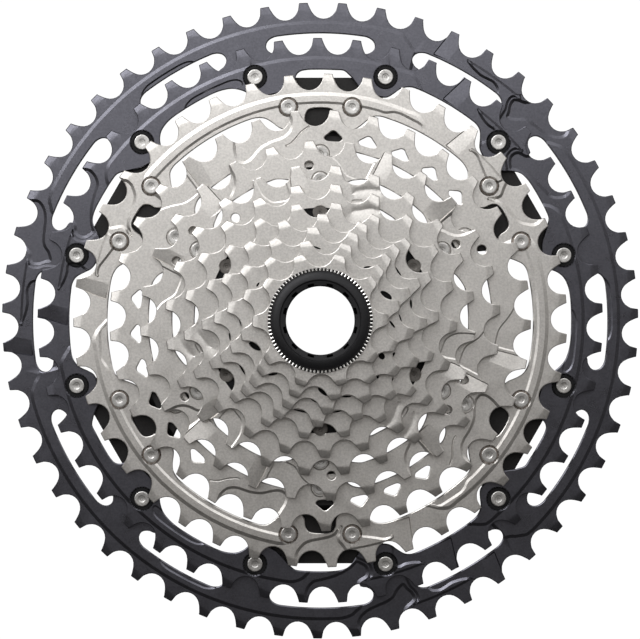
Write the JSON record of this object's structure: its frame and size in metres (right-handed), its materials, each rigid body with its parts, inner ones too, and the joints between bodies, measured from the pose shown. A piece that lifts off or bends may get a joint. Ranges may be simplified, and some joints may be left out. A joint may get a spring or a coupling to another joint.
{
  "type": "bicycle sprocket cassette",
  "caption": "Riveted bicycle sprocket cassette: a stepped cone of toothed rings on splined spiders, clamped by a threaded lockring that unscrews.",
  "frame": {"origin": "on the wheel axis, at the back face of the largest sprocket, which the cassette lies on", "axes": "+Z along the wheel axis, from the largest sprocket towards the lockring; +Y to the rivet arm at twelve o'clock; +X to the right of it seen from the lockring's side"},
  "size_m": [0.2094, 0.2093, 0.0448],
  "materials": {
    "dark_anodised": "bead-blasted, dark grey anodised",
    "satin_nickel_steel": "satin nickel plate",
    "black_anodised": "black anodised",
    "lockring_black": "turned, black anodised",
    "washer_steel": "bright zinc plate",
    "rivet_steel": "satin, upset head"
  },
  "bodies": {
    "sprocket_stack": {"sprocket_51t": "dark_anodised", "sprocket_45t": "dark_anodised", "sprocket_39t": "satin_nickel_steel", "sprocket_33t": "satin_nickel_steel", "sprocket_28t": "satin_nickel_steel", "sprocket_24t": "satin_nickel_steel", "sprocket_21t": "satin_nickel_steel", "sprocket_18t": "satin_nickel_steel", "sprocket_16t": "satin_nickel_steel", "sprocket_14t": "satin_nickel_steel", "sprocket_12t": "satin_nickel_steel", "sprocket_10t": "satin_nickel_steel", "beam_spider": "black_anodised", "inner_spider": "black_anodised", "spacer_18t": "black_anodised", "spacer_16t": "black_anodised", "rivet_45t_01": "rivet_steel", "rivet_45t_02": "rivet_steel", "rivet_45t_03": "rivet_steel", "rivet_45t_04": "rivet_steel", "rivet_45t_05": "rivet_steel", "rivet_45t_06": "rivet_steel", "rivet_45t_07": "rivet_steel", "rivet_45t_08": "rivet_steel", "rivet_45t_09": "rivet_steel", "rivet_45t_10": "rivet_steel", "rivet_45t_11": "rivet_steel", "rivet_45t_12": "rivet_steel", "rivet_39t_01": "rivet_steel", "rivet_39t_02": "rivet_steel", "rivet_39t_03": "rivet_steel", "rivet_39t_04": "rivet_steel", "rivet_39t_05": "rivet_steel", "rivet_39t_06": "rivet_steel", "rivet_39t_07": "rivet_steel", "rivet_39t_08": "rivet_steel", "rivet_39t_09": "rivet_steel", "rivet_39t_10": "rivet_steel", "rivet_39t_11": "rivet_steel", "rivet_39t_12": "rivet_steel", "rivet_33t_01": "rivet_steel", "rivet_33t_02": "rivet_steel", "rivet_33t_03": "rivet_steel", "rivet_33t_04": "rivet_steel", "rivet_33t_05": "rivet_steel", "rivet_33t_06": "rivet_steel", "rivet_28t_01": "rivet_steel", "rivet_28t_02": "rivet_steel", "rivet_28t_03": "rivet_steel", "rivet_28t_04": "rivet_steel", "rivet_28t_05": "rivet_steel", "rivet_28t_06": "rivet_steel", "rivet_21t_01": "rivet_steel", "rivet_21t_02": "rivet_steel", "rivet_21t_03": "rivet_steel", "rivet_21t_04": "rivet_steel", "rivet_21t_05": "rivet_steel", "rivet_21t_06": "rivet_steel"},
    "lockring_washer": {"lockring_washer": "washer_steel"},
    "lockring": {"lockring": "lockring_black"}
  },
  "joints": [
    {"name": "lockring_travel", "type": "slide", "parent": "sprocket_stack", "child": "lockring_washer", "axis": [0, 0, 1], "range_m": [0, 0.0054]},
    {"name": "lockring_turn", "type": "hinge", "parent": "lockring_washer", "child": "lockring", "pos_m": [0, 0, 0.0433], "axis": [0, 0, 1], "range_deg": [0, 1890]}
  ],
  "couplings": [
    {"joint": "lockring_travel", "follows": "lockring_turn", "m_per_rad": 0.00015915}
  ]
}
